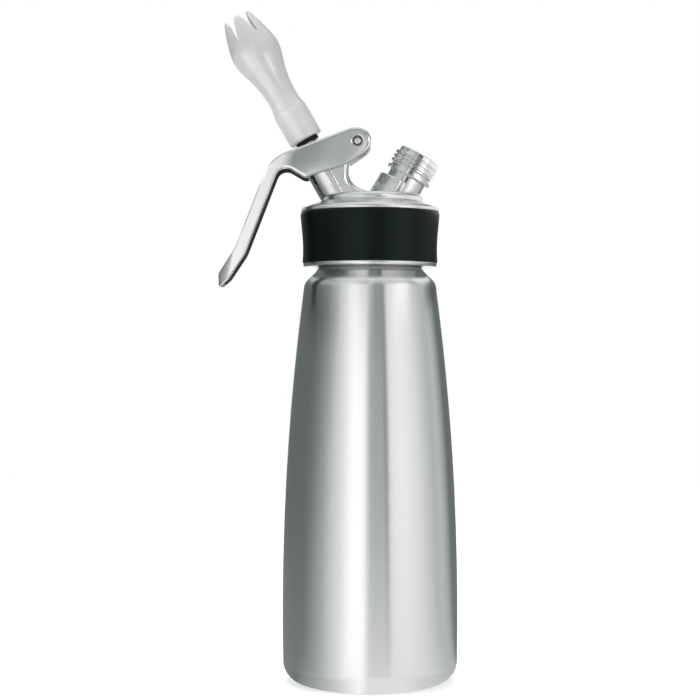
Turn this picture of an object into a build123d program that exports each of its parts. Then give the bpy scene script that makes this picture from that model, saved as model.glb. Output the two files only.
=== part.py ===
from build123d import *
import os
from math import acos, asin, atan2, cos, degrees, hypot, pi, radians, sin, sqrt, tan

# Cream whipper: a steel bottle, a cast head that screws on it, a lever valve and a charger socket.
# Frame: origin at the centre of the base, +Z up, the lever towards -X, the charger socket towards +X.
# Lengths are in millimetres and angles in degrees.

# Common to several pieces
seat_clearance = 0.02
seal_round = 0.3
overrun = 1.0

# Bottle
bottle_radius = 47.2
bottle_widest_z = 38.0
side_radius = 1330.0
base_corner = 11.0
bottle_wall = 1.2
body_height = 214.7
shoulder_rise = 8.3
shoulder_round = 7.0
neck_radius = 27.3
neck_length = 24.5
neck_blend = 1.5

# Screw thread between the neck and the head
neck_pitch = 4.5
neck_thread_height = 1.3
neck_thread_base = 2.0
neck_thread_crest = 0.8
neck_thread_turns = 2.5
neck_thread_start = 4.9
head_thread_turns = 2.0
neck_clearance = 0.4
thread_sink = 0.3

# Head gasket, pinched between the neck rim and the roof of the head
gasket_thickness = 2.5
gasket_overhang = 1.2
gasket_round = 0.6

# Head casting, heights counted from its roof
skirt_length = 27.0
skirt_wall = 4.6
lip_height = 2.2
lip_width = 2.4
lip_round = 1.2
rim_start = 2.45
rim_height = 2.35
rim_width = 3.6
rim_round = 1.8
skirt_mouth_round = 0.6
groove_edge_round = 0.4
dome_top = 8.7
dome_radius = 26.0
platform_top = 12.0
platform_radius = 26.9
platform_shift = 1.5
platform_round = 2.3

# Grip ring round the skirt
grip_waist = 2.6
grip_top_swell = 1.5
grip_bottom_swell = 0.25
grip_waist_share = 0.27
grip_round = 1.2
grip_foot_round = 0.5
grip_foot_flare = 0.05
grip_top_flare = 0.08

# Valve axis, leaning to -X from a foot point on the bottle's axis
valve_lean = 30.0
valve_foot_below_roof = 17.3
tip_base_u = 68.4
column_radius = 9.6
column_top_u = 54.0
valve_boss_radius = 8.5
valve_boss_sink = 5.0
valve_seat_u = 14.0

# Valve stem and what rides on it, places counted along the valve axis
stem_radius = 4.35
stem_neck_radius = 4.0
stem_waist_radius = 3.4
stem_flow_radius = 2.2
stem_fit = 0.08
flange_radius = 6.0
flange_thickness = 2.0
flange_round = 0.5
stem_edge_round = 0.3
stem_taper = 0.6
valve_seal_thickness = 1.8
valve_seal_overhang = 0.4
chamber_radius = 5.2
chamber_length = 4.5
land_length = 9.5
port_radius = 1.3
port_above_floor = 0.4
flow_floor_above_seat = 1.2
o_ring_section = 0.75
o_ring_groove = 1.7
o_ring_gap = 3.3
o_ring_start = 4.0
spring_pocket_radius = 6.6
spring_wire = 1.0
spring_radius = 5.5
spring_turns = 9.0
spring_end_gap = 0.05
cap_radius = 7.0
cap_thickness = 2.5
cap_foot_round = 0.4
cap_top_round = 0.6
cap_below_tip = 9.6
circlip_width = 1.3
circlip_thickness = 0.8
circlip_gap_angle = 60.0
circlip_groove_depth = 0.6
circlip_inner_gap = 0.05
circlip_outer_gap = 0.3
circlip_recess = 0.15
stem_end_above_tip = 11.6

# Screw thread between the stem and the tip adapter
tip_pitch = 1.8
tip_thread_height = 0.5
tip_thread_base = 0.8
tip_thread_crest = 0.4
tip_thread_turns = 5.0
tip_thread_start = 1.6
tip_clearance = 0.12

# Tip adapter, its seal and the decorator tip, places counted from the tip's base
adapter_radius = 6.4
adapter_below_base = 2.0
adapter_roof = 2.6
adapter_foot_round = 0.5
adapter_top_round = 0.3
adapter_flow_radius = 2.4
tip_seal_thickness = 1.5
tip_collar_radius = 9.35
tip_collar_length = 18.6
tip_collar_step = 0.4
tip_base_round = 1.6
tip_waist_radius = 8.45
tip_waist_at = 31.5
tip_swell_radius = 10.7
tip_swell_at = 43.0
tip_bulge_radius = 13.3
tip_bulge_at = 53.0
tip_closing_radius = 12.3
tip_closing_at = 62.0
tip_mouth_radius = 8.2
tip_length = 75.6
tip_wall = 1.7
tip_throat_radius = 3.2
prong_count = 6
notch_bottom_at = 59.5
notch_bottom_round = 0.6
notch_half_width = 2.0
notch_shoulder_round = 2.0
prong_tip_width = 2.2
prong_tip_length = 2.6

# Lever and hinge pin, the outline counted from the pin
pivot_arm = 22.9
pivot_below_tip = 15.2
pin_radius = 2.0
pin_fit = 0.06
pin_countersink = 2.85
pin_recess = 0.35
pin_end_round = 0.9
lever_wall = 2.0
lever_side_gap = 0.4
web_wall = 2.5
lever_end_radius = 7.3
lug_clearance = 0.4
brow_length = 3.25
brow_round = 8.0
arm_slope = 20.6
arm_length = 46.5
bend_round = 22.0
handle_slant = 21.3
handle_length = 51.9
handle_depth = 6.4
handle_draft = 6.0
draft_steps = 4
draft_first = 5.5
draft_spacing = 1.5
flare_slant = 33.6
flare_length = 16.3
flare_round = 20.0
heel_round = 5.0
tongue_slant = 4.0
tongue_length = 7.4
tongue_edge_round = 0.7
tongue_under_slant = 49.0
tongue_under_round = 6.0
tongue_plan_tilt = 15.0
tongue_taper = 6.0
tongue_taper_angle = 32.0
tongue_taper_round = 16.0
tongue_end_round = 1.0
armpit_slope = 31.0
armpit_round = 5.5
belly_back = 28.2
belly_drop = 20.0
belly_round = 4.0
throat_back = 5.4
throat_drop = 12.2
throat_round = 6.0
lever_edge_round = 1.5
slot_clearance = 0.5
slot_run = 1.9
channel_mouth_drop = 2.45

# Hinge bracket between the column and the pin
bracket_half_width = 9.2
bracket_edge_round = 3.6
bracket_sink = 0.6
bracket_root = 4.0
bracket_toe = 6.0
saddle_behind_pin = 4.7
saddle_top_drop = 11.3
saddle_turn_height = 5.6
saddle_slope = 20.0
saddle_upper_round = 9.0
saddle_middle_round = 9.0
saddle_lower_round = 8.0

# Charger axis, leaning to +X from a foot point on the bottle's axis
charger_lean = 30.0
charger_foot_below_roof = 13.4
charger_top_w = 54.0
charger_thread_length = 13.5
charger_pitch = 2.4
charger_crest_radius = 12.7
charger_root_radius = 11.55
charger_pilot_radius = 11.4
charger_pilot_length = 2.4
charger_relief_length = 1.4
charger_collar_length = 1.8
charger_edge_round = 0.5
charger_chamfer = 0.6
charger_groove_floor = 0.5
charger_groove_mouth = 2.2
charger_groove_over = 0.5
charger_neck_radius = 10.4
socket_radius = 9.3
socket_depth = 13.0
spigot_radius = 7.5
spigot_length = 17.7
half_collar_radius = 13.9
half_collar_below_top = 17.9
half_collar_half_angle = 78.0
half_collar_end_round = 1.8
half_collar_blend = 2.0
half_collar_top_round = 0.7
bulb_neck_radius = 6.0
bulb_neck_depth = 7.0
charger_seal_width = 1.6
charger_seal_thickness = 2.2
piercing_body_radius = 2.5
piercing_body_length = 8.0
needle_radius = 1.1
needle_length = 4.5
needle_bore = 0.5
needle_cut_angle = 35.0

# Gas check valve under the socket, on its own upright axis
check_seat_radius = 1.5
check_seat_above_roof = 2.0
check_ball_radius = 2.2
check_ball_gap = 0.02
check_chamber_radius = 2.9
check_boss_radius = 5.0
check_boss_below_roof = 6.5
check_retainer_thickness = 1.5
check_retainer_hole = 1.0
check_retainer_round = 0.2
check_spring_radius = 1.6
check_spring_wire = 0.45
check_spring_turns = 3.0

# Heights and places that follow from the sizes above
neck_foot_z = body_height + shoulder_rise
neck_top_z = neck_foot_z + neck_length
roof_z = neck_top_z + gasket_thickness
platform_z = roof_z + platform_top
lip_z = roof_z - skirt_length
skirt_bore = neck_radius + neck_thread_height + neck_clearance
skirt_radius = skirt_bore + skirt_wall

valve_foot = (0, 0, roof_z - valve_foot_below_roof)
valve_sin = sin(radians(valve_lean))
valve_cos = cos(radians(valve_lean))
valve_axis = (-valve_sin, 0, valve_cos)
valve_plane = Plane(valve_foot, x_dir=(valve_cos, 0, valve_sin), z_dir=valve_axis)

charger_foot = (0, 0, roof_z - charger_foot_below_roof)
charger_sin = sin(radians(charger_lean))
charger_cos = cos(radians(charger_lean))
charger_axis = (charger_sin, 0, charger_cos)
charger_plane = Plane(charger_foot, x_dir=(charger_cos, 0, -charger_sin), z_dir=charger_axis)
thread_foot_w = charger_top_w - charger_thread_length
socket_floor_w = charger_top_w - socket_depth
seal_floor_w = socket_floor_w - bulb_neck_depth
spigot_foot_w = thread_foot_w - spigot_length
check_x = spigot_foot_w * charger_sin

pivot_u = tip_base_u - pivot_below_tip
pin_x = pivot_arm * valve_cos - pivot_u * valve_sin
pin_z = valve_foot[2] + pivot_arm * valve_sin + pivot_u * valve_cos
pin = (pin_x, pin_z)
lever_inner = column_radius + lever_side_gap
lever_half_width = lever_inner + lever_wall
lug_radius = lever_end_radius - web_wall - lug_clearance

column_root_u = (roof_z + overrun - valve_foot[2]) / valve_cos
land_u = valve_seat_u + chamber_length
pocket_u = land_u + land_length
land_radius = stem_radius + stem_fit
cap_u = tip_base_u - cap_below_tip
stem_top_u = tip_base_u + stem_end_above_tip
adapter_bore = stem_neck_radius + tip_clearance
stem_core = stem_neck_radius - tip_thread_height
through = 200.0


def meet(p, d, q, e):
    """The point where the line through p along d crosses the line through q along e."""
    span = d[0] * e[1] - d[1] * e[0]
    step = ((q[0] - p[0]) * e[1] - (q[1] - p[1]) * e[0]) / span
    return (p[0] + step * d[0], p[1] + step * d[1])


def along(p, d, length):
    """The point at a distance from p in the direction d."""
    return (p[0] + length * d[0], p[1] + length * d[1])


def tangent_point(p, centre, radius, side):
    """Where a line from p touches a circle, on its left (side 1) or its right (side -1)."""
    dx, dy = centre[0] - p[0], centre[1] - p[1]
    turn = atan2(dy, dx) + side * asin(radius / hypot(dx, dy))
    length = sqrt(dx * dx + dy * dy - radius * radius)
    return along(p, (cos(turn), sin(turn)), length)


def offset_path(points, distance):
    """The corners of an open path moved to its left by a distance."""
    lines = []
    for (x0, y0), (x1, y1) in zip(points, points[1:]):
        length = hypot(x1 - x0, y1 - y0)
        d = ((x1 - x0) / length, (y1 - y0) / length)
        lines.append((along((x0, y0), (-d[1], d[0]), distance), d, length))
    moved = [lines[0][0]]
    moved += [meet(a[0], a[1], b[0], b[1]) for a, b in zip(lines, lines[1:])]
    moved.append(along(*lines[-1]))
    return moved


def rounded(face, corners):
    """A face with each corner (x, y, radius) rounded by its radius."""
    for x, y, radius in corners:
        if radius > 0:
            face = face.fillet_2d(radius, [face.vertices().sort_by_distance((x, y, 0))[0]])
    return face


def outline(corners):
    """A flat face through corners (x, y, radius)."""
    face = make_face(Polyline(*[(x, y) for x, y, _ in corners], close=True)).face()
    return rounded(face, corners)


def turned(corners):
    """A solid turned about Z from corners (radius, height, rounding)."""
    return revolve(Plane.XZ * outline(corners), Axis.Z)


def rod(radius, low, high):
    """An upright cylinder on the Z axis."""
    upright = (Align.CENTER, Align.CENTER, Align.MIN)
    return Pos(0, 0, low) * Cylinder(radius, high - low, align=upright)


def ring(inner, outer, low, high, rounding=0):
    """A flat ring on the Z axis."""
    sides = [(inner, low), (outer, low), (outer, high), (inner, high)]
    return turned([(*corner, rounding) for corner in sides])


def side_edges(solid):
    """The edges of a solid's two outermost flat faces across Y."""
    sides = solid.faces().filter_by(Axis.Y).sort_by(Axis.Y)
    return sides[0].edges() + sides[-1].edges()


def coil(radius, wire, turns, low, high):
    """A round wire wound into an open helix whose ends lie within low and high."""
    rise = high - low - wire
    path = Pos(0, 0, low + wire / 2) * Helix(rise / turns, rise, radius)
    section = Plane(path @ 0, z_dir=path % 0) * Circle(wire / 2)
    return sweep(section, path=path, is_frenet=True)


def thread(radius, pitch, turns, start, height, base, crest, sink):
    """A helical ridge on a cylinder, outward for a positive height and inward for a negative one."""
    path = Pos(0, 0, start) * Helix(pitch, pitch * turns, radius)
    inside = -sink if height > 0 else sink
    low = [(inside, -base / 2), (height, -crest / 2)]
    high = [(height, crest / 2), (inside, base / 2)]
    profile = make_face(Polyline(*low, *high, close=True))
    section = Plane(path @ 0, x_dir=(1, 0, 0), z_dir=path % 0) * profile
    return sweep(section, path=path, is_frenet=True)


def side_at(z):
    """Radius of the long curve of the bottle's side at a height."""
    return bottle_radius - side_radius + sqrt(side_radius**2 - (z - bottle_widest_z) ** 2)


def bottle_face(inset):
    """Half of the bottle's section, moved inwards all round by an inset."""
    centre = (bottle_radius - side_radius, bottle_widest_z)
    arc = side_radius - inset
    fall = atan2(shoulder_rise, neck_radius - side_at(body_height))
    normal = (-sin(fall), cos(fall))
    slope = (cos(fall), sin(fall))
    start = along((side_at(body_height), body_height), normal, inset)
    across = (start[0] - centre[0]) * slope[0] + (start[1] - centre[1]) * slope[1]
    reach = (start[0] - centre[0]) ** 2 + (start[1] - centre[1]) ** 2 - arc**2
    corner = along(start, slope, -across - sqrt(across**2 - reach))
    neck = neck_radius - inset
    foot = meet(start, slope, (neck, 0), (0, 1))
    top = neck_top_z + (through if inset > 0 else 0)
    heel = (centre[0] + sqrt(arc**2 - (inset - centre[1]) ** 2), inset)
    middle = (centre[0] + arc, centre[1])
    edges = [
        Line((0, inset), heel),
        ThreePointArc(heel, middle, corner),
        Polyline(corner, foot, (neck, top), (0, top), (0, inset)),
    ]
    corners = [
        (*heel, base_corner - inset),
        (*corner, shoulder_round - inset),
        (*foot, neck_blend + inset),
    ]
    return rounded(make_face(edges).face(), corners)


def make_bottle():
    shell = revolve(Plane.XZ * bottle_face(0), Axis.Z)
    shell -= revolve(Plane.XZ * bottle_face(bottle_wall), Axis.Z)
    start = neck_foot_z + neck_thread_start
    sizes = (neck_thread_height, neck_thread_base, neck_thread_crest, thread_sink)
    return shell + thread(neck_radius, neck_pitch, neck_thread_turns, start, *sizes)


def make_head_gasket():
    inner = neck_radius - bottle_wall - gasket_overhang
    outer = neck_radius + gasket_overhang
    return ring(inner, outer, neck_top_z, roof_z, gasket_round)


def head_body():
    """The turned body of the head: skirt, lip, rim, dome and platform."""
    lip = skirt_radius + lip_width
    rim = skirt_radius + rim_width
    corners = [
        (skirt_bore, lip_z, skirt_mouth_round),
        (lip, lip_z, lip_round),
        (lip, lip_z + lip_height, groove_edge_round),
        (skirt_radius, lip_z + lip_height, 0),
        (skirt_radius, roof_z + rim_start, 0),
        (rim, roof_z + rim_start, groove_edge_round),
        (rim, roof_z + rim_start + rim_height, rim_round),
        (dome_radius, roof_z + dome_top, 0),
        (0, roof_z + dome_top, 0),
        (0, roof_z, 0),
        (skirt_bore, roof_z, 0),
    ]
    platform = [
        (0, roof_z, 0),
        (platform_radius, roof_z, 0),
        (platform_radius, platform_z, platform_round),
        (0, platform_z, 0),
    ]
    return turned(corners) + Pos(platform_shift, 0, 0) * turned(platform)


def bracket():
    """The cast plate that carries the hinge pin, from the column and the platform to the pin."""
    slope = (valve_cos, valve_sin)
    axis = (-valve_sin, valve_cos)
    foot = (0, valve_foot[2])
    column_edge = along(along(foot, axis, column_top_u), slope, column_radius - bracket_sink)
    column_mid = along(foot, axis, column_top_u - bracket_root)
    root_z = platform_z - bracket_root
    column_low = along(foot, axis, (root_z - valve_foot[2]) / valve_cos)
    saddle_x = pin_x - saddle_behind_pin
    saddle_top = (saddle_x, pin_z - saddle_top_drop)
    saddle_turn = (saddle_x, platform_z + saddle_turn_height)
    saddle_foot = (saddle_x + saddle_turn_height / tan(radians(saddle_slope)), platform_z)
    corners = [
        (*tangent_point(column_edge, pin, lug_radius, 1), 0),
        (*column_edge, 0),
        (*column_mid, 0),
        (*column_low, 0),
        (saddle_foot[0] + bracket_toe, root_z, 0),
        (saddle_foot[0] + bracket_toe, platform_z, 0),
        (*saddle_foot, saddle_lower_round),
        (*saddle_turn, saddle_middle_round),
        (*saddle_top, saddle_upper_round),
        (*tangent_point(saddle_top, pin, lug_radius, -1), 0),
        (*pin, 0),
    ]
    plate = extrude(Plane.XZ * outline(corners), bracket_half_width, both=True)
    lug = Pos(pin_x, 0, pin_z) * Rot(90, 0, 0) * Cylinder(lug_radius, 2 * bracket_half_width)
    plate += lug
    beyond = [e for e in side_edges(plate) if e.center().X > column_edge[0]]
    free = [e for e in beyond if e.center().Z > platform_z - overrun]
    return fillet(free, bracket_edge_round)


def polar(radius, angle):
    """The point at a radius and an angle in degrees from the X axis."""
    return (radius * cos(radians(angle)), radius * sin(radians(angle)))


def arc_about(centre, start, end):
    """The shorter arc about a centre from start to end."""
    middle = ((start[0] + end[0]) / 2 - centre[0], (start[1] + end[1]) / 2 - centre[1])
    radius = hypot(start[0] - centre[0], start[1] - centre[1])
    return ThreePointArc(start, along(centre, middle, radius / hypot(*middle)), end)


def half_collar_plan():
    """The plan of the half collar, whose two ends flow into the neck in an S curve."""
    to_end = half_collar_radius - half_collar_end_round
    to_blend = charger_neck_radius + half_collar_blend
    apart = half_collar_end_round + half_collar_blend
    turn = degrees(acos((to_end**2 + to_blend**2 - apart**2) / (2 * to_end * to_blend)))
    edges = []
    corners = []
    for side in (1, -1):
        angle = side * (180 - half_collar_half_angle)
        end = polar(to_end, angle)
        blend = polar(to_blend, angle - side * turn)
        outer = polar(half_collar_radius, angle)
        inner = polar(charger_neck_radius, angle - side * turn)
        between = along(blend, (end[0] - blend[0], end[1] - blend[1]), half_collar_blend / apart)
        edges += [arc_about(end, outer, between), arc_about(blend, between, inner)]
        corners.append((outer, inner))
    (outer_a, inner_a), (outer_b, inner_b) = corners
    edges.append(ThreePointArc(outer_a, (-half_collar_radius, 0), outer_b))
    edges.append(ThreePointArc(inner_a, (charger_neck_radius, 0), inner_b))
    return make_face(edges).face()


def charger_neck():
    """The neck under the charger socket, with the half collar on its inner side."""
    base = spigot_foot_w - overrun
    top = charger_top_w - half_collar_below_top
    corners = [
        (0, base, 0),
        (half_collar_radius, base, 0),
        (half_collar_radius, top, half_collar_top_round),
        (0, top, 0),
    ]
    blank = turned(corners)
    collar = blank & extrude(Pos(0, 0, base) * half_collar_plan(), top - base)
    return charger_plane * (rod(charger_neck_radius, base, thread_foot_w) + collar)


def make_head():
    column = valve_plane * rod(column_radius, column_root_u, column_top_u)
    body = head_body() + column + bracket() + charger_neck()
    body += valve_plane * rod(valve_boss_radius, valve_seat_u, column_root_u + valve_boss_sink)
    body += Pos(check_x, 0, 0) * rod(check_boss_radius, roof_z - check_boss_below_roof, roof_z + overrun)
    body -= valve_plane * rod(chamber_radius, 0, land_u)
    body -= valve_plane * rod(land_radius, 0, pocket_u + overrun)
    body -= valve_plane * rod(spring_pocket_radius, pocket_u, through)
    body -= charger_plane * rod(spigot_radius + seat_clearance, spigot_foot_w, charger_top_w)
    seat_z = roof_z + check_seat_above_roof
    spigot_z = charger_foot[2] + spigot_foot_w * charger_cos
    body -= Pos(check_x, 0, 0) * rod(check_seat_radius, lip_z, spigot_z + overrun)
    body -= Pos(check_x, 0, 0) * rod(check_chamber_radius, lip_z, seat_z)
    body -= Pos(pin_x, 0, pin_z) * Rot(90, 0, 0) * Cylinder(pin_radius, through)
    start = neck_foot_z + neck_thread_start + neck_pitch / 2
    sizes = (-neck_thread_height, neck_thread_base, neck_thread_crest, thread_sink)
    return body + thread(skirt_bore, neck_pitch, head_thread_turns, start, *sizes)


def make_grip_ring():
    low = lip_z + lip_height + seat_clearance
    high = roof_z + rim_start - seat_clearance
    inner = skirt_radius + seat_clearance
    waist = inner + grip_waist
    waist_z = low + (high - low) * grip_waist_share
    bottom = (waist + grip_bottom_swell, low)
    top = (waist + grip_top_swell, high)
    leaving = [(-grip_foot_flare, 1), (grip_top_flare, 1)]
    edges = [
        Line((inner, low), bottom),
        Spline(bottom, (waist, waist_z), top, tangents=leaving),
        Polyline(top, (inner, high), (inner, low)),
    ]
    corners = [(*bottom, grip_foot_round), (*top, grip_round)]
    return revolve(Plane.XZ * rounded(make_face(edges).face(), corners), Axis.Z)


def make_charger_adapter():
    top = charger_top_w
    relief_w = thread_foot_w + charger_collar_length
    start_w = relief_w + charger_relief_length
    crest_w = top - charger_pilot_length
    corners = [
        (0, spigot_foot_w, 0),
        (spigot_radius, spigot_foot_w, charger_edge_round),
        (spigot_radius, thread_foot_w, 0),
        (charger_crest_radius - charger_chamfer, thread_foot_w, 0),
        (charger_crest_radius, thread_foot_w + charger_chamfer, 0),
        (charger_crest_radius, relief_w, 0),
        (charger_pilot_radius, relief_w, 0),
        (charger_pilot_radius, start_w, 0),
        (charger_crest_radius, start_w + charger_chamfer, 0),
        (charger_crest_radius, crest_w - charger_chamfer, 0),
        (charger_pilot_radius, crest_w, 0),
        (charger_pilot_radius, top, charger_edge_round),
        (0, top, 0),
    ]
    blank = turned(corners)
    blank -= rod(socket_radius, socket_floor_w, top + overrun)
    blank -= rod(bulb_neck_radius, seal_floor_w, socket_floor_w + overrun)
    blank -= rod(piercing_body_radius + seat_clearance, 0, top)
    start = relief_w + charger_relief_length / 2
    turns = (crest_w + charger_pilot_length / 2 - start) / charger_pitch
    depth = charger_crest_radius - charger_root_radius + charger_groove_over
    sizes = (depth, charger_groove_floor, charger_groove_mouth, 0)
    groove = thread(charger_root_radius, charger_pitch, turns, start, *sizes)
    return charger_plane * (blank - groove)


def make_charger_seal():
    outer = bulb_neck_radius - seat_clearance
    high = seal_floor_w + charger_seal_thickness
    return charger_plane * ring(outer - charger_seal_width, outer, seal_floor_w, high, seal_round)


def make_piercing_pin():
    tip = seal_floor_w + needle_length
    pin_body = rod(piercing_body_radius, seal_floor_w - piercing_body_length, seal_floor_w)
    pin_body += rod(needle_radius, seal_floor_w - overrun, tip)
    slant = Rot(0, needle_cut_angle, 0) * rod(needle_radius * 4, 0, needle_length)
    pin_body -= Pos(0, 0, tip - needle_radius) * slant
    pin_body -= rod(needle_bore, 0, charger_top_w)
    return charger_plane * pin_body


def check_ball_z():
    """Height of the ball's centre when it closes the seat."""
    seat_z = roof_z + check_seat_above_roof
    return seat_z - check_ball_gap - sqrt(check_ball_radius**2 - check_seat_radius**2)


def make_check_ball():
    return Pos(check_x, 0, check_ball_z()) * Sphere(check_ball_radius)


def make_check_retainer():
    low = roof_z - check_boss_below_roof
    outer = check_chamber_radius - seat_clearance
    high = low + check_retainer_thickness
    return Pos(check_x, 0, 0) * ring(check_retainer_hole, outer, low, high, check_retainer_round)


def make_check_spring():
    low = roof_z - check_boss_below_roof + check_retainer_thickness + spring_end_gap
    reach = check_ball_radius + check_spring_wire / 2
    last = check_ball_z() - sqrt(reach**2 - check_spring_radius**2)
    high = last + check_spring_wire / 2 - spring_end_gap
    spring = coil(check_spring_radius, check_spring_wire, check_spring_turns, low, high)
    return Pos(check_x, 0, 0) * spring


def make_hinge_pin():
    half = lever_half_width - pin_recess
    shank = Cylinder(pin_radius - seat_clearance, 2 * half)
    shank = fillet(shank.edges(), pin_end_round)
    return Pos(pin_x, 0, pin_z) * Rot(90, 0, 0) * shank


def lever_paths():
    """The lever's outer path from the pin to the tongue, and the corners back along its open side."""
    h = radians(handle_slant)
    down = (-sin(h), -cos(h))
    inward = (cos(h), -sin(h))
    arm = (-cos(radians(arm_slope)), -sin(radians(arm_slope)))
    flare = (-sin(radians(flare_slant)), -cos(radians(flare_slant)))
    tongue = (sin(radians(tongue_slant)), -cos(radians(tongue_slant)))
    under = (sin(radians(tongue_under_slant)), cos(radians(tongue_under_slant)))
    crown = (pin_x, pin_z + lever_end_radius)
    brow = (pin_x - brow_length, crown[1])
    bend = along(brow, arm, arm_length)
    flare_start = along(bend, down, handle_length)
    heel = along(flare_start, flare, flare_length)
    tip = along(heel, tongue, tongue_length)
    palm = along(bend, inward, handle_depth)
    belly = (pin_x - belly_back, pin_z - belly_drop)
    throat = (pin_x - throat_back, pin_z - throat_drop)
    cup = along(heel, (-flare[1], flare[0]), handle_depth)
    inner_flare = meet(palm, down, cup, flare)
    under_start = meet(cup, flare, tip, under)
    armpit_line = (-cos(radians(armpit_slope)), sin(radians(armpit_slope)))
    armpit = meet(palm, down, belly, armpit_line)
    last = tangent_point(throat, pin, lever_end_radius, -1)
    outer = [crown, brow, bend, flare_start, heel, tip]
    back = [under_start, inner_flare, armpit, belly, throat, last]
    return outer, back


def lever_face():
    """The side outline of the lever."""
    outer, back = lever_paths()
    crown, last = outer[0], back[-1]
    right = (pin_x + lever_end_radius, pin_z)
    face = make_face([ThreePointArc(last, right, crown), Polyline(*outer, *back)]).face()
    rounds = [0, brow_round, bend_round, flare_round, heel_round, tongue_edge_round]
    rounds += [tongue_under_round, flare_round, armpit_round, belly_round, throat_round, 0]
    return rounded(face, [(*p, r) for p, r in zip(outer + back, rounds)])


def channel_face():
    """The side outline of the open channel inside the lever."""
    outer, _ = lever_paths()
    tip = outer[-1]
    reach = along(tip, (sin(radians(tongue_slant)), -cos(radians(tongue_slant))), bend_round)
    inner = offset_path(outer[:-1] + [reach], web_wall)
    rounds = [0, brow_round - web_wall, bend_round - web_wall]
    rounds += [flare_round + web_wall, heel_round - web_wall, 0]
    right = pin_x + 2 * lever_end_radius
    low = inner[-1][1]
    corners = [(*p, r) for p, r in zip(inner, rounds)]
    corners += [(right, low, 0), (right, pin_z - channel_mouth_drop, 0), (*pin, 0)]
    return outline(corners)


def handle_sides(half_width):
    """The wedges that lean the sides of the handle in steps, so that it narrows towards its back."""
    bend = lever_paths()[0][2]
    h = radians(handle_slant)
    inward = (cos(h), -sin(h))
    block = Pos(0, 0, through / 2) * Box(through, through, through)
    wedges = []
    inset = 0
    for step in range(draft_steps):
        lean = radians(handle_draft * (step + 1) / draft_steps)
        x, z = along(bend, inward, handle_depth + draft_first - step * draft_spacing)
        for side in (-1, 1):
            out = (-inward[0] * sin(lean), side * cos(lean), -inward[1] * sin(lean))
            wedges.append(Plane((x, side * (half_width - inset), z), z_dir=out) * block)
        inset += draft_spacing * tan(lean)
    return wedges


def make_lever():
    blank = extrude(Plane.XZ * lever_face(), lever_half_width, both=True)
    blank = fillet(side_edges(blank), lever_edge_round) & tongue_plan(0)
    blank -= handle_sides(lever_half_width)
    channel = extrude(Plane.XZ * channel_face(), lever_inner, both=True) & tongue_plan(lever_wall)
    channel -= handle_sides(lever_inner)
    channel += Pos(pin_x, 0, pin_z) * Rot(90, 0, 0) * Cylinder(lever_end_radius - web_wall, 2 * lever_inner)
    blank -= channel
    slot = rod(stem_neck_radius + slot_clearance, cap_u, through)
    blank -= valve_plane * (slot + Pos(slot_run, 0, 0) * slot)
    blank -= Pos(pin_x, 0, pin_z) * Rot(90, 0, 0) * Cylinder(pin_radius + pin_fit, through)
    sink_depth = pin_countersink - pin_radius
    sink = Cone(pin_radius, pin_countersink, sink_depth)
    for side in (-1, 1):
        place = Pos(pin_x, side * (lever_half_width - sink_depth / 2), pin_z)
        blank -= place * Rot(-90 * side, 0, 0) * sink
    return blank


def tongue_plan(inset):
    """A long block whose tapered end narrows the tongue as seen from below, moved inwards by an inset."""
    outer, _ = lever_paths()
    tip = outer[-1]
    reach = (-cos(radians(tongue_plan_tilt)), sin(radians(tongue_plan_tilt)))
    plane = Plane((tip[0], 0, tip[1]), x_dir=(reach[0], 0, reach[1]), z_dir=(reach[1], 0, -reach[0]))
    end = max((p[0] - tip[0]) * reach[0] + (p[1] - tip[1]) * reach[1] for p in outer)
    narrow = lever_half_width - tongue_taper * tan(radians(tongue_taper_angle))
    near = [(-through, -lever_half_width), (end - tongue_taper, -lever_half_width), (end, -narrow)]
    far = [(x, -y) for x, y in reversed(near)]
    rounds = [0, tongue_taper_round - inset, tongue_end_round]
    rounds += reversed(rounds)
    corners = [(*p, r) for p, r in zip(offset_path(near + far, inset), rounds)]
    return extrude(plane * outline(corners), through, both=True)


def make_valve_stem():
    flange_low = valve_seat_u - valve_seal_thickness - flange_thickness
    seal_low = valve_seat_u - valve_seal_thickness
    corners = [
        (0, flange_low, 0),
        (flange_radius, flange_low, flange_round),
        (flange_radius, seal_low, stem_edge_round),
        (stem_waist_radius, seal_low, 0),
        (stem_waist_radius, land_u + overrun, 0),
        (stem_radius, land_u + overrun + stem_taper, 0),
        (stem_radius, cap_u, 0),
        (stem_neck_radius, cap_u, 0),
        (stem_neck_radius, tip_base_u - adapter_below_base, 0),
        (stem_core, tip_base_u - adapter_below_base + tip_thread_height, 0),
        (stem_core, stem_top_u, stem_edge_round),
        (0, stem_top_u, 0),
    ]
    stem = turned(corners)
    flow_floor_u = valve_seat_u + flow_floor_above_seat
    stem -= rod(stem_flow_radius, flow_floor_u, stem_top_u + overrun)
    outside = stem_radius + overrun
    floor = land_radius - 2 * (o_ring_section + seat_clearance)
    for u in o_ring_places():
        stem -= ring(floor, outside, u - o_ring_groove / 2, u + o_ring_groove / 2)
    low = circlip_u() - seat_clearance
    high = circlip_u() + circlip_thickness + seat_clearance
    stem -= ring(stem_neck_radius - circlip_groove_depth, outside, low, high)
    port_u = flow_floor_u + port_radius + port_above_floor
    for turn in (0, 90):
        stem -= Pos(0, 0, port_u) * Rot(90, 0, turn) * Cylinder(port_radius, 4 * stem_radius)
    start = tip_base_u + tip_thread_start
    sizes = (tip_thread_height, tip_thread_base, tip_thread_crest, thread_sink)
    return valve_plane * (stem + thread(stem_core, tip_pitch, tip_thread_turns, start, *sizes))


def o_ring_places():
    """Places of the two stem seals along the valve axis."""
    first = land_u + o_ring_start
    return [first, first + o_ring_gap]


def circlip_u():
    """Place of the retaining ring's lower face along the valve axis."""
    return cap_u + cap_thickness - circlip_thickness - circlip_recess


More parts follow.
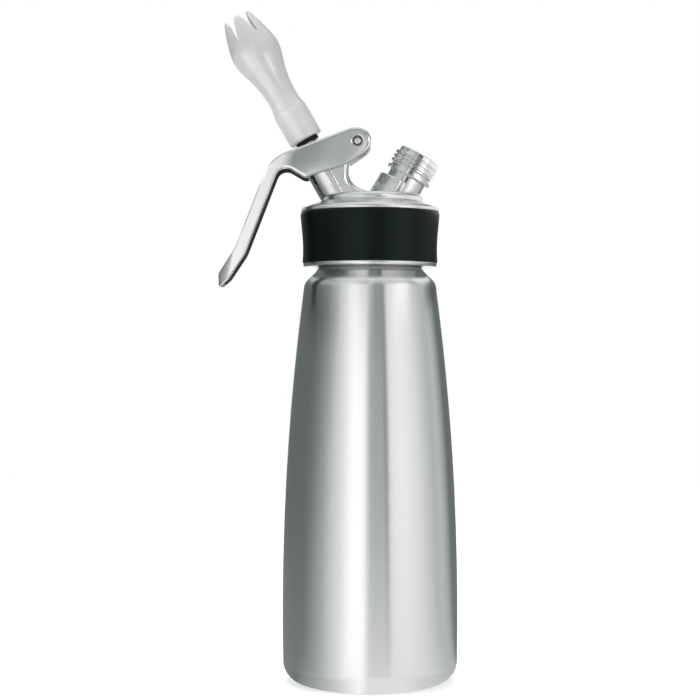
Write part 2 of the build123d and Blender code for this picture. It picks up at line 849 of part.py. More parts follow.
def make_stem_seals():
    outer = land_radius - seat_clearance
    rings = [Pos(0, 0, u) * Torus(outer - o_ring_section, o_ring_section) for u in o_ring_places()]
    return valve_plane * Compound(children=rings)


def make_valve_seal():
    outer = flange_radius + valve_seal_overhang
    inner = stem_waist_radius + seat_clearance
    low = valve_seat_u - valve_seal_thickness
    return valve_plane * ring(inner, outer, low, valve_seat_u - seat_clearance, seal_round)


def make_valve_spring():
    low = pocket_u + spring_end_gap
    return valve_plane * coil(spring_radius, spring_wire, spring_turns, low, cap_u - spring_end_gap)


def make_spring_cap():
    bore = stem_neck_radius + seat_clearance
    top = cap_u + cap_thickness
    corners = [
        (bore, cap_u, 0),
        (cap_radius, cap_u, cap_foot_round),
        (cap_radius, top, cap_top_round),
        (bore, top, 0),
    ]
    cap = turned(corners)
    recess = stem_neck_radius + circlip_width + circlip_outer_gap
    cap -= rod(recess, circlip_u() - seat_clearance, top + overrun)
    return valve_plane * cap


def make_retaining_ring():
    inner = stem_neck_radius - circlip_groove_depth + circlip_inner_gap
    outer = stem_neck_radius + circlip_width
    low = circlip_u()
    clip = ring(inner, outer, low, low + circlip_thickness)
    half = outer * sin(radians(circlip_gap_angle / 2))
    clip -= Pos(-outer, 0, low) * Box(2 * outer, 2 * half, 4 * circlip_thickness)
    return valve_plane * clip


def make_tip_seal():
    low = stem_top_u + seat_clearance
    return valve_plane * ring(adapter_flow_radius, stem_core, low, low + tip_seal_thickness, seal_round)


def tip_adapter_top():
    """Place of the tip adapter's upper face along the valve axis."""
    return stem_top_u + tip_seal_thickness + 2 * seat_clearance + adapter_roof


def make_tip_adapter():
    low = tip_base_u - adapter_below_base
    high = tip_adapter_top()
    corners = [
        (0, low, 0),
        (adapter_radius, low, adapter_foot_round),
        (adapter_radius, high, adapter_top_round),
        (0, high, 0),
    ]
    body = turned(corners)
    body -= rod(adapter_bore, low - overrun, high - adapter_roof)
    body -= rod(adapter_flow_radius, low, high + overrun)
    start = tip_base_u + tip_thread_start + tip_pitch / 2
    sizes = (-(tip_thread_height - tip_clearance), tip_thread_base, tip_thread_crest, thread_sink)
    return valve_plane * (body + thread(adapter_bore, tip_pitch, tip_thread_turns, start, *sizes))


def tip_curve(inset):
    """The tulip curve of the decorator tip from its collar to its mouth, moved inwards by an inset."""
    points = [
        (tip_collar_radius - tip_collar_step - inset, tip_collar_length),
        (tip_waist_radius - inset, tip_waist_at),
        (tip_swell_radius - inset, tip_swell_at),
        (tip_bulge_radius - inset, tip_bulge_at),
        (tip_closing_radius - inset, tip_closing_at),
        (tip_mouth_radius - inset, tip_length),
    ]
    return Spline(*points)


def make_decorator_tip():
    shoulder = tip_adapter_top() - tip_base_u + seat_clearance
    bore = adapter_radius + seat_clearance
    outside = tip_curve(0)
    inside = tip_curve(tip_wall)
    outer_edges = [
        Polyline((0, 0), (tip_collar_radius, 0), (tip_collar_radius, tip_collar_length), outside @ 0),
        outside,
        Polyline(outside @ 1, (0, tip_length), (0, 0)),
    ]
    inner_edges = [
        Polyline((0, 0), (bore, 0), (bore, shoulder), (tip_throat_radius, shoulder), inside @ 0),
        inside,
        Polyline(inside @ 1, inside @ 1 + Vector(0, overrun), (0, tip_length + overrun), (0, 0)),
    ]
    corners = [(tip_collar_radius, 0, tip_base_round)]
    body = revolve(Plane.XZ * rounded(make_face(outer_edges).face(), corners), Axis.Z)
    body -= revolve(Plane.XZ * make_face(inner_edges), Axis.Z)
    notch = extrude(Plane.XZ * notch_face(), 4 * tip_bulge_radius)
    for step in range(prong_count):
        body -= Rot(0, 0, (step + 0.5) * 360 / prong_count) * notch
    return valve_plane * Pos(0, 0, tip_base_u) * body


def notch_face():
    """The gap between two prongs, seen from outside."""
    pitch_half = tip_mouth_radius * pi / prong_count
    shoulder = tip_length - prong_tip_length
    mouth_half = pitch_half - prong_tip_width / 2
    corners = [
        (0, notch_bottom_at, notch_bottom_round),
        (notch_half_width, shoulder, notch_shoulder_round),
        (mouth_half, tip_length, 0),
        (mouth_half, tip_length + overrun, 0),
        (-mouth_half, tip_length + overrun, 0),
        (-mouth_half, tip_length, 0),
        (-notch_half_width, shoulder, notch_shoulder_round),
    ]
    return outline(corners)


makers = {
    "bottle": make_bottle,
    "head_gasket": make_head_gasket,
    "head": make_head,
    "grip_ring": make_grip_ring,
    "charger_adapter": make_charger_adapter,
    "charger_seal": make_charger_seal,
    "piercing_pin": make_piercing_pin,
    "check_ball": make_check_ball,
    "check_spring": make_check_spring,
    "check_retainer": make_check_retainer,
    "hinge_pin": make_hinge_pin,
    "lever": make_lever,
    "valve_stem": make_valve_stem,
    "stem_seals": make_stem_seals,
    "valve_seal": make_valve_seal,
    "valve_spring": make_valve_spring,
    "spring_cap": make_spring_cap,
    "retaining_ring": make_retaining_ring,
    "tip_seal": make_tip_seal,
    "tip_adapter": make_tip_adapter,
    "decorator_tip": make_decorator_tip,
}

os.makedirs("parts", exist_ok=True)
for node, make in makers.items():
    export_step(make(), f"parts/{node}.step")
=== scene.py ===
import math

import bpy
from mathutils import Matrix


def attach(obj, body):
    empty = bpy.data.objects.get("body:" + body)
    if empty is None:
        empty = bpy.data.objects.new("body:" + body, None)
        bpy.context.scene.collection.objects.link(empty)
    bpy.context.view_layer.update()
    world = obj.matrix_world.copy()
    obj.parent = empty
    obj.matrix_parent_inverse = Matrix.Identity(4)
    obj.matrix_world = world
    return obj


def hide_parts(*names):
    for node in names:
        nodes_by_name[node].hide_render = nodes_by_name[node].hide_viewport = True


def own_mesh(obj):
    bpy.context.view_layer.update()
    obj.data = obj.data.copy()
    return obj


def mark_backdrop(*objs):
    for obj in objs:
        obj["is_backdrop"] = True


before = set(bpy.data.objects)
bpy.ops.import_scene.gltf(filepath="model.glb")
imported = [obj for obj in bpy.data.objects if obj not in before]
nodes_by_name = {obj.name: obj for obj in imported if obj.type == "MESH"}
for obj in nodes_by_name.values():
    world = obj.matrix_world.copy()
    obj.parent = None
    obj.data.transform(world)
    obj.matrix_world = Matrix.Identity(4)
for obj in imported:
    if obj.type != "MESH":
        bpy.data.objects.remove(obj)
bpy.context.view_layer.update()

# Cream whipper: looks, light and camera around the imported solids. Lengths are in metres.

# Camera, fitted to the photograph
camera_distance = 0.874
camera_side = -0.0108
camera_height = 0.1784
camera_lens = 83.08
sensor_width = 36.0

# The lean of the valve and of the charger socket, and the valve's axis
lean = math.radians(30.0)
valve_axis = (-math.sin(lean), 0.0, math.cos(lean))

# Turns that lay a grain across an upright piece, the charger socket, the valve and the hinge pin
upright_turn = (0.0, 0.0, 0.0)
socket_turn = (0.0, lean, 0.0)
valve_turn = (0.0, -lean, 0.0)
pin_turn = (math.pi / 2, 0.0, 0.0)

# Noise values at the two ends of a pattern, and how finely the noise is broken up
pattern_ends = (0.3, 0.7)
pattern_detail = 3.0

# Noise cells in a metre along X, Y and Z, for each pattern
bottle_grain = (4, 4, 2600)
cast_grain = (1800, 1800, 1800)
turned_grain = (40, 40, 2500)
rubber_grain = (900, 900, 900)
tip_grain = (120, 120, 120)

# Tones at the two ends of each pattern
bottle_tones = ((0.73, 0.743, 0.743), (0.745, 0.757, 0.757))
cast_tones = ((0.69, 0.705, 0.70), (0.71, 0.72, 0.715))
turned_tones = ((0.72, 0.73, 0.73), (0.80, 0.81, 0.81))
grip_tones = ((0.001, 0.002, 0.002), (0.002, 0.003, 0.003))
seal_tones = ((0.02, 0.02, 0.02), (0.03, 0.03, 0.03))
adapter_tones = ((0.004, 0.004, 0.004), (0.006, 0.006, 0.006))
# The tip's own tones, then the greyer tones of painted shade for its hollow end
tip_body_tones = ((0.60, 0.61, 0.61), (0.63, 0.64, 0.64))
tip_shade_tones = ((0.50, 0.515, 0.51), (0.53, 0.545, 0.54))

# Roughness at the two ends of each pattern
bottle_roughness = (0.25, 0.27)
head_roughness = (0.12, 0.15)
lever_roughness = (0.11, 0.14)
socket_roughness = (0.12, 0.17)
valve_roughness = (0.16, 0.24)
pin_roughness = (0.10, 0.16)
grip_roughness = (0.30, 0.38)
seal_roughness = (0.56, 0.64)
adapter_roughness = (0.36, 0.44)
tip_roughness = (0.28, 0.34)

# Strength and depth of the relief of each pattern
bottle_relief = (0.006, 0.00005)
cast_relief = (0.004, 0.00005)
turned_relief = (0.02, 0.00005)
rubber_relief = (0.15, 0.0001)
tip_relief = (0.02, 0.0001)

# Radii to which the edges of the head, the lever and the tip are softened, and how finely
head_edge_radius = 0.0010
lever_edge_radius = 0.0016
tip_edge_radius = 0.0006
bevel_samples = 8

# How far the brushed side of the bottle draws a reflection out, and the turn of the brush marks
brush_stretch = 0.85
brush_turn = 0.25

# Heights on the bottle between which the brushed side gives way to the polished neck
brushed_to = 0.2165
polished_from = 0.2180
polished_share = 0.4

# Heights between which the polished neck turns matt at the mouth of the head, and how rough it is
polished_to = 0.2207
matt_from = 0.2212
matt_roughness = 0.45

# Heights of the satin band of the head, from its lip to its platform, and how much rougher it is
satin_from = 0.2233
satin_to = 0.2670
satin_blend = 0.0004
satin_roughness = 0.15

# Half the width of the lever's channel, and the place along X from which its inside is seen, which bound
# the painted shade inside the channel
channel_half_width = 0.0101
channel_seen_from = -0.024

# Limits past which a face is on the outside of the lever's sides and of its bend, and the bend's way out
outer_side_from = 0.003
outer_bend_from = 0.3
bend_faces = (-math.sqrt(0.5), 0.0, math.sqrt(0.5))

# Painted shade inside the lever's channel: its dark colour, and its roughness
channel_shade_colour = (0.07, 0.073, 0.073, 1.0)
channel_roughness = 0.45

# The hinge pin's place, and the radius and the strength of the painted shade in the countersink round it
pin_x = -0.006768
pin_z = 0.2902226
countersink_radius = 0.00295
countersink_shade = 0.8

# Gloss of the black pieces, the tint of the grip ring's gloss, and plain white
grip_gloss = 0.17
seal_gloss = 0.5
adapter_gloss = 0.2
grip_tint = (0.7, 1.0, 1.0, 1.0)
white = (1.0, 1.0, 1.0, 1.0)

# The tip's plastic: how it bends light, its gloss, its clear skin and how far light goes into it
tip_ior = 1.6
tip_gloss = 1.0
tip_skin = 0.6
tip_skin_roughness = 0.25
tip_light_depth = 0.006

# Heights along the valve's axis between which painted shade makes the tip's hollow end greyer
tip_shade_from = 0.317
tip_shade_to = 0.330

# The floor: its radius, the number of its sides, its colour and its glow
floor_radius = 1.15
floor_sides = 96
floor_colour = (0.86, 0.86, 0.86, 1.0)
floor_glow = 0.4

# Strength of the white surround where it is seen or mirrored, and elsewhere
seen_light = 1.0
soft_light = 0.62

# The lamps: the point they are aimed at, then the name, place, size and power of each
lamp_target = (0.0, 0.0, 0.2)
lamps = [
    ("key_lamp", (-1.3, -1.1, 1.1), 1.0, 14.0),
    ("fill_lamp", (1.2, -1.3, 0.9), 1.0, 7.0),
    ("top_lamp", (0.0, 0.2, 1.9), 1.4, 12.0),
]

# Tints of a dim card and of a bright one, and the steps of a card from one bearing to the next
dim_tint = (0.86, 1.0, 0.985, 1.0)
bright_tint = (1.0, 0.985, 0.98, 1.0)
card_steps = 4

# Radii and heights of the cards that surround the object
wall_radius = 0.62
near_radius = 0.115
foot_radius = 0.062
inner_radius = 0.034
wall_top = 0.46
ceiling_top = 1.0
card_lift = 0.0006
table_radius = 0.32
table_lift = 0.0012

# Radii of the smaller cards, and the heights that several of them share
front_radius = 0.3
rim_radius = 0.12
socket_radius = 0.08
neck_left_radius = 0.125
neck_right_radius = 0.09
bracket_foot = 0.272
handle_foot = 0.285
arm_foot = 0.306
arm_top = 0.375

# Bearings from the camera, to the right, with the brightness of the wall, of the floor before it, of the
# floor near the object and of the floor at its foot
walls = [
    (-165, 0.17, 0.25, 0.27, 0.27),
    (-98, 0.17, 0.25, 0.27, 0.27),
    (-86, 0.21, 0.25, 0.27, 0.27),
    (-73, 0.31, 0.38, 0.36, 0.22),
    (-60, 0.50, 0.54, 0.48, 0.33),
    (-48, 0.80, 0.80, 0.66, 0.45),
    (-35, 1.06, 1.05, 0.88, 0.62),
    (-24, 1.42, 1.40, 1.20, 0.84),
    (-9, 1.42, 1.40, 1.30, 1.27),
    (-5, 1.05, 1.05, 1.10, 1.14),
    (-2.5, 0.46, 0.84, 1.02, 1.00),
    (18.8, 0.48, 0.84, 1.00, 1.00),
    (19.4, 0.05, 0.74, 1.00, 1.00),
    (23.2, 0.05, 0.74, 1.00, 1.00),
    (24, 1.06, 0.98, 0.97, 1.00),
    (43, 1.18, 1.02, 0.98, 0.82),
    (66, 0.98, 0.90, 0.90, 0.68),
    (83, 0.72, 0.72, 0.72, 0.62),
    (94, 0.58, 0.62, 0.62, 0.58),
    (105, 0.68, 0.66, 0.66, 0.50),
    (118, 0.46, 0.50, 0.50, 0.40),
    (130, 0.18, 0.22, 0.22, 0.22),
    (165, 0.18, 0.22, 0.22, 0.22),
]

# The cards for the four columns of brightness, with the radius and height of their two ends
surround = [
    ("walls", (wall_radius, 0.0), (wall_radius, wall_top)),
    ("floor_far", (near_radius, card_lift), (wall_radius, card_lift)),
    ("floor_near", (foot_radius, card_lift), (near_radius, card_lift)),
    ("floor_foot", (inner_radius, card_lift), (foot_radius, card_lift)),
]

# Bearings and brightness of the band over the walls
ceiling = [
    (-165, 0.32),
    (-100, 0.32),
    (-84, 0.26),
    (-72, 0.35),
    (-55, 0.68),
    (-28, 0.68),
    (-12, 0.45),
    (15, 0.45),
    (30, 0.52),
    (70, 0.52),
    (95, 0.40),
    (130, 0.25),
    (165, 0.25),
]

# Smaller cards of one brightness: two bearings, the brightness, and the radius and height of both ends
even_cards = [
    ("handle_low", -36, -20, 1.22, (front_radius, 0.255), (front_radius, handle_foot)),
    ("arm_left", -8, -5.9, 0.34, (front_radius, arm_foot), (front_radius, arm_top)),
    ("arm_right", -5.9, 1, 0.56, (front_radius, arm_foot), (front_radius, arm_top)),
    ("column_front", -8, -4.3, 1.30, (front_radius, bracket_foot), (front_radius, arm_foot)),
    ("bracket_front", -4.3, 1, 0.50, (front_radius, bracket_foot), (front_radius, arm_foot)),
    ("column_right", -2.4, 5.7, 1.0, (rim_radius, 0.274), (rim_radius, 0.305)),
    ("socket_front", 1, 5, 0.45, (front_radius, arm_foot), (front_radius, arm_top)),
    ("socket_dark", 5, 22, 0.08, (front_radius, 0.27), (front_radius, arm_top)),
    ("collar_right", 40, 75, 1.10, (socket_radius, 0.267), (socket_radius, 0.285)),
    ("socket_right", 75, 125, 1.10, (socket_radius, 0.252), (socket_radius, 0.285)),
    ("rim_left", -150, -85, 0.65, (rim_radius, 0.256), (rim_radius, 0.33)),
    ("tip_left", -80, -50, 1.8, (0.1, 0.285), (0.14, 0.33)),
    ("tip_right", 16, 42, 3.6, (0.15, 0.305), (0.206, 0.350)),
    ("rim_right", 85, 150, 0.95, (rim_radius, 0.256), (rim_radius, 0.31)),
]

# Bearings and brightness along the table, the lever's handle, the rim, the ends of the neck and the ring
table_stops = [(-90, 0.25), (-84, 0.40), (-76, 0.52), (-66, 0.68), (-58, 0.80), (-50, 1.0), (-42, 1.0)]
handle_stops = [(-36, 1.22), (-25, 1.22), (-11, 0.34), (-8, 0.34)]
rim_stops = [(-85, 0.7), (-60, 1.22), (-36, 1.22), (-25, 1.0), (40, 1.0)]
neck_left_stops = [(-154, 0.15), (-118, 0.12), (-103, 0.04), (-67, 0.01), (-52, 0.10), (-43, 0.45)]
neck_right_stops = [(82, 0.50), (93, 0.02), (106, 0.04), (120, 0.12), (150, 0.15)]
ring_stops = [(30, 0.9), (42, 2.0), (52, 2.2), (66, 0.9)]

# Smaller cards whose brightness changes along them, with the radius and height of both ends
graded_cards = [
    ("table", table_stops, (table_radius, table_lift), (wall_radius, table_lift)),
    ("handle_front", handle_stops, (front_radius, handle_foot), (front_radius, arm_top)),
    ("rim_front", rim_stops, (rim_radius, 0.253), (rim_radius, 0.264)),
    ("neck_left", neck_left_stops, (neck_left_radius, 0.2132), (neck_left_radius, 0.2227)),
    ("neck_right", neck_right_stops, (neck_right_radius, 0.2137), (neck_right_radius, 0.2232)),
    ("ring_front", ring_stops, (rim_radius, 0.238), (rim_radius, 0.256)),
]


# Nodes that the materials share

def empty_tree(holder):
    """The emptied node tree of a material or of the world."""
    holder.use_nodes = True
    holder.node_tree.nodes.clear()
    return holder.node_tree


def new_material(name):
    """A node material with a Principled shader wired to its output."""
    material = bpy.data.materials.new(name)
    tree = empty_tree(material)
    output = tree.nodes.new("ShaderNodeOutputMaterial")
    shader = tree.nodes.new("ShaderNodeBsdfPrincipled")
    tree.links.new(shader.outputs["BSDF"], output.inputs["Surface"])
    return material, shader


def feed(tree, value, slot):
    """A slot wired to another node's output, or set to a plain value."""
    if hasattr(value, "links"):
        tree.links.new(value, slot)
    else:
        slot.default_value = value


def math_node(tree, operation, *values):
    """The result of an operation on one or two values."""
    node = tree.nodes.new("ShaderNodeMath")
    node.operation = operation
    for value, slot in zip(values, node.inputs):
        feed(tree, value, slot)
    return node.outputs[0]


def mix_node(tree, kind, share, first, second):
    """A colour or a number that goes from a first one to a second one by a share."""
    node = tree.nodes.new("ShaderNodeMix")
    node.data_type = kind
    slots = [slot for slot in node.inputs if slot.enabled]
    for value, slot in zip((share, first, second), slots):
        feed(tree, value, slot)
    return [slot for slot in node.outputs if slot.enabled][0]


def between(tree, value, old_range, new_range):
    """A value brought from one range to another and held at its ends."""
    node = tree.nodes.new("ShaderNodeMapRange")
    ends = zip(("From Min", "From Max", "To Min", "To Max"), old_range + new_range)
    for name, number in ends:
        node.inputs[name].default_value = number
    tree.links.new(value, node.inputs["Value"])
    return node.outputs["Result"]


def coordinate(tree, kind):
    """The place or the normal of a point of the piece."""
    return tree.nodes.new("ShaderNodeTexCoord").outputs[kind]


def split(tree, vector, axes):
    """The parts of a vector along the axes that are asked for by letter."""
    node = tree.nodes.new("ShaderNodeSeparateXYZ")
    tree.links.new(vector, node.inputs["Vector"])
    return [node.outputs[letter] for letter in axes]


def along(tree, vector, axis):
    """How far a vector goes along an axis."""
    node = tree.nodes.new("ShaderNodeVectorMath")
    node.operation = "DOT_PRODUCT"
    node.inputs[1].default_value = axis
    tree.links.new(vector, node.inputs[0])
    return node.outputs["Value"]


def stretched_noise(tree, grain, turn):
    """A noise pattern in object space, stretched by a grain for each axis after a turn."""
    mapping = tree.nodes.new("ShaderNodeMapping")
    mapping.vector_type = "TEXTURE"
    mapping.inputs["Rotation"].default_value = turn
    mapping.inputs["Scale"].default_value = tuple(1.0 / times for times in grain)
    noise = tree.nodes.new("ShaderNodeTexNoise")
    noise.inputs["Scale"].default_value = 1.0
    noise.inputs["Detail"].default_value = pattern_detail
    tree.links.new(coordinate(tree, "Object"), mapping.inputs["Vector"])
    tree.links.new(mapping.outputs["Vector"], noise.inputs["Vector"])
    return noise.outputs["Fac"]


def two_tones(tree, pattern, tones):
    """A pattern as a colour between two tones."""
    ramp = tree.nodes.new("ShaderNodeValToRGB")
    for element, position, tone in zip(ramp.color_ramp.elements, pattern_ends, tones):
        element.position = position
        element.color = (*tone, 1.0)
    tree.links.new(pattern, ramp.inputs["Fac"])
    return ramp.outputs["Color"]


def add_relief(tree, shader, pattern, relief, edge_radius):
    """Fine relief from a pattern, and edges that shade as if they were rounded by a radius."""
    strength, depth = relief
    bump = tree.nodes.new("ShaderNodeBump")
    bump.inputs["Strength"].default_value = strength
    bump.inputs["Distance"].default_value = depth
    tree.links.new(pattern, bump.inputs["Height"])
    tree.links.new(bump.outputs["Normal"], shader.inputs["Normal"])
    if edge_radius:
        bevel = tree.nodes.new("ShaderNodeBevel")
        bevel.samples = bevel_samples
        bevel.inputs["Radius"].default_value = edge_radius
        tree.links.new(bevel.outputs["Normal"], bump.inputs["Normal"])


def patterned(name, grain, turn, tones, roughness, relief, edge_radius=0.0):
    """A material with a pattern that shows in its tone, its gloss and its relief."""
    material, shader = new_material(name)
    tree = material.node_tree
    pattern = stretched_noise(tree, grain, turn)
    tree.links.new(two_tones(tree, pattern, tones), shader.inputs["Base Color"])
    tree.links.new(between(tree, pattern, pattern_ends, roughness), shader.inputs["Roughness"])
    add_relief(tree, shader, pattern, relief, edge_radius)
    return material, shader


def wired(shader, name):
    """The output that is wired to a slot of a shader."""
    return shader.inputs[name].links[0].from_socket


# Materials

def bottle_steel():
    """Satin steel brushed round the bottle, which draws reflections out along its height."""
    material, shader = patterned(
        "bottle_steel", bottle_grain, upright_turn, bottle_tones, bottle_roughness, bottle_relief)
    tree = material.node_tree
    height = split(tree, coordinate(tree, "Object"), "Z")[0]
    brushed = between(tree, height, (brushed_to, polished_from), (1.0, polished_share))
    matt = between(tree, height, (polished_to, matt_from), (0.0, matt_roughness))
    rough = math_node(tree, "MULTIPLY", wired(shader, "Roughness"), brushed)
    tree.links.new(math_node(tree, "ADD", rough, matt), shader.inputs["Roughness"])
    shader.inputs["Metallic"].default_value = 1.0
    shader.inputs["Anisotropic"].default_value = brush_stretch
    shader.inputs["Anisotropic Rotation"].default_value = brush_turn
    tangent = tree.nodes.new("ShaderNodeTangent")
    tangent.direction_type = "RADIAL"
    tangent.axis = "Z"
    tree.links.new(tangent.outputs["Tangent"], shader.inputs["Tangent"])
    return material


def cast_steel(name, roughness, edge_radius):
    """Satin cast steel of the head and the lever, with a fine even grain."""
    material, shader = patterned(
        name, cast_grain, upright_turn, cast_tones, roughness, cast_relief, edge_radius)
    shader.inputs["Metallic"].default_value = 1.0
    return material, shader


def head_steel():
    """The head's steel, satin from its lip to its platform."""
    material, shader = cast_steel("head_steel", head_roughness, head_edge_radius)
    tree = material.node_tree
    height = split(tree, coordinate(tree, "Object"), "Z")[0]
    above = between(tree, height, (satin_from, satin_from + satin_blend), (0.0, 1.0))
    below = between(tree, height, (satin_to, satin_to + satin_blend), (satin_roughness, 0.0))
    satin = math_node(tree, "MULTIPLY", above, below)
    rough = math_node(tree, "ADD", wired(shader, "Roughness"), satin)
    tree.links.new(rough, shader.inputs["Roughness"])
    return material


def lever_channel_shade(tree):
    """1 inside the lever's open channel, where shade is painted, and 0 elsewhere."""
    across, aside = split(tree, coordinate(tree, "Object"), "XY")
    normal = coordinate(tree, "Normal")
    outward = math_node(tree, "MULTIPLY", aside, split(tree, normal, "Y")[0])
    limits = [
        (math_node(tree, "ABSOLUTE", aside), channel_half_width),
        (outward, outer_side_from),
        (along(tree, normal, bend_faces), outer_bend_from),
        (across, channel_seen_from),
    ]
    inside = 1.0
    for value, limit in limits:
        inside = math_node(tree, "MULTIPLY", inside, math_node(tree, "LESS_THAN", value, limit))
    return inside


def lever_countersink_shade(tree):
    """1 in the countersink round the hinge pin, where shade is painted, and 0 elsewhere."""
    across, height = split(tree, coordinate(tree, "Object"), "XZ")
    sides = (math_node(tree, "SUBTRACT", across, pin_x), math_node(tree, "SUBTRACT", height, pin_z))
    squares = [math_node(tree, "MULTIPLY", side, side) for side in sides]
    return math_node(tree, "LESS_THAN", math_node(tree, "ADD", *squares), countersink_radius ** 2)


def lever_steel():
    """The lever's steel, with painted shade, dark and rough, inside its open channel and round its pin.
    """
    material, shader = cast_steel("lever_steel", lever_roughness, lever_edge_radius)
    tree = material.node_tree
    # Painted shade: the inside of the channel and the countersink take a dark colour and more roughness
    sunk_shade = math_node(tree, "MULTIPLY", lever_countersink_shade(tree), countersink_shade)
    painted_shade = math_node(tree, "MAXIMUM", lever_channel_shade(tree), sunk_shade)
    colour = mix_node(tree, "RGBA", painted_shade, wired(shader, "Base Color"), channel_shade_colour)
    rough = mix_node(tree, "FLOAT", painted_shade, wired(shader, "Roughness"), channel_roughness)
    tree.links.new(colour, shader.inputs["Base Color"])
    tree.links.new(rough, shader.inputs["Roughness"])
    return material


def turned_steel(name, turn, roughness):
    """Bright steel with fine lathe lines across its axis."""
    material, shader = patterned(name, turned_grain, turn, turned_tones, roughness, turned_relief)
    shader.inputs["Metallic"].default_value = 1.0
    return material


def rubber(name, tones, roughness, gloss, tint=white):
    """Matt black rubber or plastic with a fine skin and a gloss that may be tinted."""
    material, shader = patterned(name, rubber_grain, upright_turn, tones, roughness, rubber_relief)
    shader.inputs["Specular IOR Level"].default_value = gloss
    shader.inputs["Specular Tint"].default_value = tint
    return material


def tip_plastic():
    """Frosted moulded plastic, with painted shade that makes its hollow end greyer than the rest."""
    material, shader = patterned(
        "tip_plastic", tip_grain, upright_turn, tip_body_tones, tip_roughness, tip_relief,
        tip_edge_radius)
    tree = material.node_tree
    height = along(tree, coordinate(tree, "Object"), valve_axis)
    # Painted shade: the hollow end takes the greyer tones
    hollow = between(tree, height, (tip_shade_from, tip_shade_to), (0.0, 1.0))
    shade_tone = two_tones(tree, stretched_noise(tree, tip_grain, upright_turn), tip_shade_tones)
    tone = mix_node(tree, "RGBA", hollow, wired(shader, "Base Color"), shade_tone)
    tree.links.new(tone, shader.inputs["Base Color"])
    shader.inputs["IOR"].default_value = tip_ior
    shader.inputs["Specular IOR Level"].default_value = tip_gloss
    shader.inputs["Coat Weight"].default_value = tip_skin
    shader.inputs["Coat Roughness"].default_value = tip_skin_roughness
    shader.inputs["Subsurface Weight"].default_value = 1.0
    shader.inputs["Subsurface Radius"].default_value = (1.0, 1.0, 1.0)
    shader.inputs["Subsurface Scale"].default_value = tip_light_depth
    return material


looks = {
    bottle_steel(): ["bottle"],
    head_steel(): ["head"],
    lever_steel(): ["lever"],
    turned_steel("adapter_steel", socket_turn, socket_roughness): ["charger_adapter", "piercing_pin"],
    turned_steel("valve_steel", valve_turn, valve_roughness): [
        "valve_stem", "spring_cap", "retaining_ring", "valve_spring",
    ],
    turned_steel("pin_steel", pin_turn, pin_roughness): [
        "hinge_pin", "check_ball", "check_spring", "check_retainer",
    ],
    rubber("grip_rubber", grip_tones, grip_roughness, grip_gloss, grip_tint): ["grip_ring"],
    rubber("seal_rubber", seal_tones, seal_roughness, seal_gloss): [
        "head_gasket", "charger_seal", "stem_seals", "valve_seal", "tip_seal",
    ],
    rubber("adapter_plastic", adapter_tones, adapter_roughness, adapter_gloss): ["tip_adapter"],
    tip_plastic(): ["decorator_tip"],
}
for material, names in looks.items():
    for name in names:
        node = nodes_by_name[name]
        node.data.materials.clear()
        node.data.materials.append(material)


# Springs copied to stand in for their nodes, riding on the head

def shortening_spring(name):
    """A copy of a spring's node that stands in for it, rides on the head and has its own mesh."""
    node = nodes_by_name[name]
    spring = bpy.data.objects.new(name + "_coil", node.data.copy())
    spring.matrix_world = node.matrix_world
    bpy.context.scene.collection.objects.link(spring)
    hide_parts(name)
    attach(spring, "head")
    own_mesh(spring)


shortening_spring("valve_spring")
shortening_spring("check_spring")


# Studio: the cards that the metal reflects, the floor, the white surround, the lamps and the camera

def seen_directly(tree):
    """1 for rays from the camera, off a mirror or through glass, and 0 for the rest."""
    path = tree.nodes.new("ShaderNodeLightPath").outputs
    mirrored = math_node(tree, "MAXIMUM", path["Is Glossy Ray"], path["Is Transmission Ray"])
    return math_node(tree, "MAXIMUM", path["Is Camera Ray"], mirrored)


def add_mesh(name, points, faces, material):
    """A stage mesh from points and faces."""
    mesh = bpy.data.meshes.new(name)
    mesh.from_pydata(points, [], faces)
    mesh.materials.append(material)
    thing = bpy.data.objects.new(name, mesh)
    bpy.context.scene.collection.objects.link(thing)
    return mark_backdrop(thing) or thing


def card_light():
    """The glow of the cards, from the brightness kept in their points and a little cool where dim."""
    material = bpy.data.materials.new("card_light")
    tree = empty_tree(material)
    output = tree.nodes.new("ShaderNodeOutputMaterial")
    light = tree.nodes.new("ShaderNodeEmission")
    level = tree.nodes.new("ShaderNodeAttribute")
    level.attribute_name = "level"
    tint = tree.nodes.new("ShaderNodeValToRGB")
    tint.color_ramp.elements[0].color = dim_tint
    tint.color_ramp.elements[1].color = bright_tint
    tree.links.new(level.outputs["Fac"], tint.inputs["Fac"])
    tree.links.new(tint.outputs["Color"], light.inputs["Color"])
    tree.links.new(level.outputs["Fac"], light.inputs["Strength"])
    tree.links.new(light.outputs["Emission"], output.inputs["Surface"])
    return material


def add_card(name, stops, ends, material):
    """A curved card round the object between two ends of radius and height, lit by bearing."""
    points = []
    levels = []
    for (start, first), (end, last) in zip(stops, stops[1:]):
        for step in range(card_steps + 1):
            share = step / card_steps
            bearing = math.radians(start + (end - start) * share)
            points += [(r * math.sin(bearing), -r * math.cos(bearing), z) for r, z in ends]
            levels += [first + (last - first) * share] * len(ends)
    faces = [(i, i + 2, i + 3, i + 1) for i in range(0, len(points) - 2, 2)]
    card = add_mesh(name, points, faces, material)
    card.data.attributes.new("level", "FLOAT", "POINT").data.foreach_set("value", levels)
    card.visible_camera = False
    card.visible_diffuse = False
    card.visible_shadow = False
    card.visible_transmission = False


def add_cards():
    """The cards round the object, which only its reflections show."""
    glow = card_light()
    for column, (name, low, high) in enumerate(surround, start=1):
        add_card(name, [(row[0], row[column]) for row in walls], [low, high], glow)
    add_card("ceiling", ceiling, [(wall_radius, wall_top), (wall_radius, ceiling_top)], glow)
    for name, start, end, level, low, high in even_cards:
        add_card(name, [(start, level), (end, level)], [low, high], glow)
    for name, stops, low, high in graded_cards:
        add_card(name, stops, [low, high], glow)


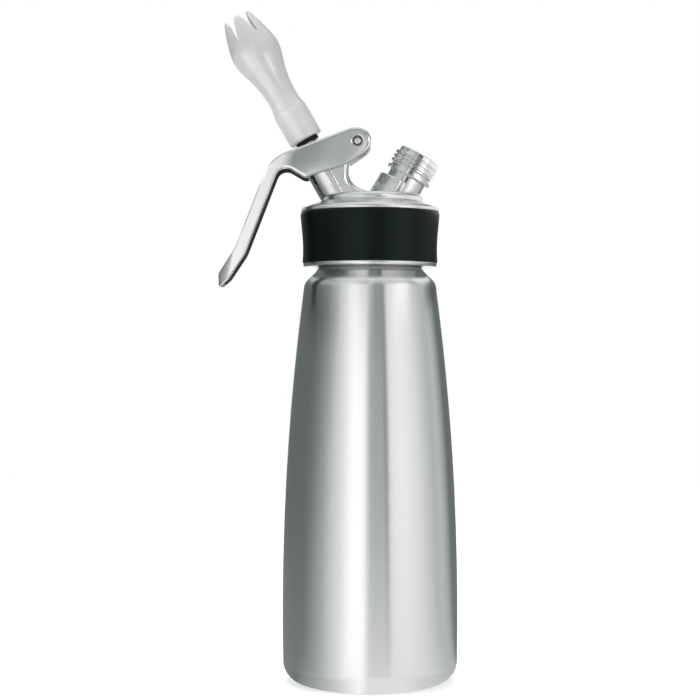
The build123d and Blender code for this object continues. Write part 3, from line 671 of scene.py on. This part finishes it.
def floor_material():
    """White floor that takes the shadow, with a glow that lifts it where it is seen or mirrored."""
    material = bpy.data.materials.new("floor_white")
    tree = empty_tree(material)
    output = tree.nodes.new("ShaderNodeOutputMaterial")
    diffuse = tree.nodes.new("ShaderNodeBsdfDiffuse")
    diffuse.inputs["Color"].default_value = floor_colour
    glow = tree.nodes.new("ShaderNodeEmission")
    both = tree.nodes.new("ShaderNodeAddShader")
    strength = math_node(tree, "MULTIPLY", seen_directly(tree), floor_glow)
    tree.links.new(strength, glow.inputs["Strength"])
    tree.links.new(diffuse.outputs["BSDF"], both.inputs[0])
    tree.links.new(glow.outputs["Emission"], both.inputs[1])
    tree.links.new(both.outputs["Shader"], output.inputs["Surface"])
    return material


def add_floor():
    """A round floor under the object."""
    turns = [2 * math.pi * side / floor_sides for side in range(floor_sides)]
    corners = [(floor_radius * math.cos(turn), floor_radius * math.sin(turn), 0.0) for turn in turns]
    add_mesh("floor", corners, [tuple(range(floor_sides))], floor_material())


def make_world():
    """White where it is seen or mirrored, and an even soft light elsewhere."""
    world = bpy.data.worlds.new("studio")
    bpy.context.scene.world = world
    tree = empty_tree(world)
    output = tree.nodes.new("ShaderNodeOutputWorld")
    mix = tree.nodes.new("ShaderNodeMixShader")
    tree.links.new(seen_directly(tree), mix.inputs["Fac"])
    for slot, strength in zip(mix.inputs[1:], (soft_light, seen_light)):
        background = tree.nodes.new("ShaderNodeBackground")
        background.inputs["Color"].default_value = white
        background.inputs["Strength"].default_value = strength
        tree.links.new(background.outputs["Background"], slot)
    tree.links.new(mix.outputs["Shader"], output.inputs["Surface"])


def add_lamp(name, place, size, power):
    """A square soft lamp aimed at the lamps' target."""
    lamp = bpy.data.lights.new(name, "AREA")
    lamp.size = size
    lamp.energy = power
    thing = bpy.data.objects.new(name, lamp)
    thing.location = place
    thing.visible_glossy = False
    way = [t - p for t, p in zip(lamp_target, place)]
    flat = math.hypot(way[0], way[1])
    thing.rotation_euler = (math.atan2(flat, -way[2]), 0.0, math.atan2(-way[0], way[1]))
    bpy.context.scene.collection.objects.link(thing)


def add_camera():
    """A level camera that looks along +Y."""
    camera_data = bpy.data.cameras.new("camera")
    camera_data.lens = camera_lens
    camera_data.sensor_width = sensor_width
    camera = bpy.data.objects.new("camera", camera_data)
    camera.location = (camera_side, -camera_distance, camera_height)
    camera.rotation_euler = (math.pi / 2, 0.0, 0.0)
    bpy.context.scene.collection.objects.link(camera)
    bpy.context.scene.camera = camera


add_cards()
add_floor()
make_world()
for lamp_values in lamps:
    add_lamp(*lamp_values)
add_camera()
bpy.context.scene.view_settings.view_transform = "Standard"
